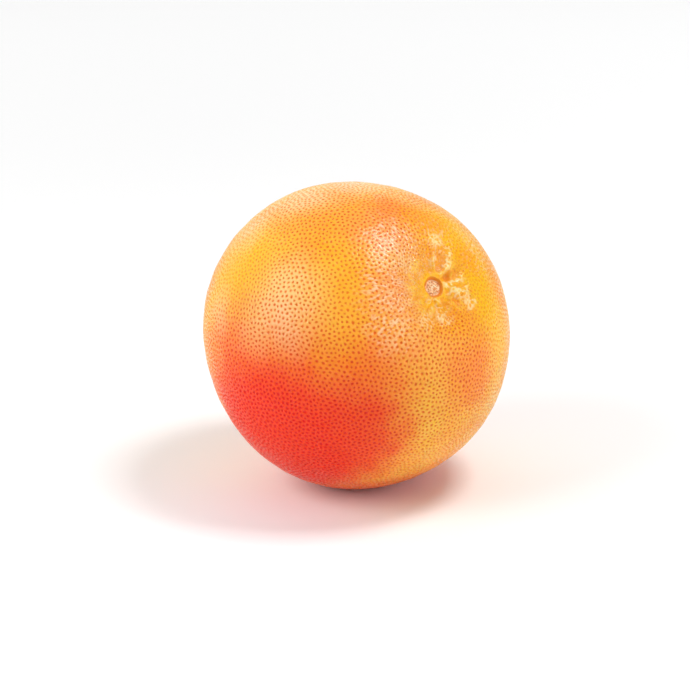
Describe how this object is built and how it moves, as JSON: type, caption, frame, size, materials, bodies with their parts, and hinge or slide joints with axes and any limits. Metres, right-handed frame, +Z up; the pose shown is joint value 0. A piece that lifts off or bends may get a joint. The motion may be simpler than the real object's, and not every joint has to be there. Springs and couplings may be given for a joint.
{
  "type": "grapefruit",
  "caption": "Whole grapefruit lying on a small flat spot, with a pitted peel, a stalk scar in a furrowed hollow at one end and a style scar at the other.",
  "frame": {"origin": "middle of the fruit's footprint, on the surface that it lies on", "axes": "+Z up; the stem end faces -Y and 35 degrees up; +X to the right of someone who faces the stem end"},
  "size_m": [0.1048, 0.102, 0.1025],
  "materials": {
    "peel": "waxy and finely pitted, orange with yellow and red patches"
  },
  "bodies": {
    "root": {"grapefruit": "peel"}
  },
  "joints": []
}
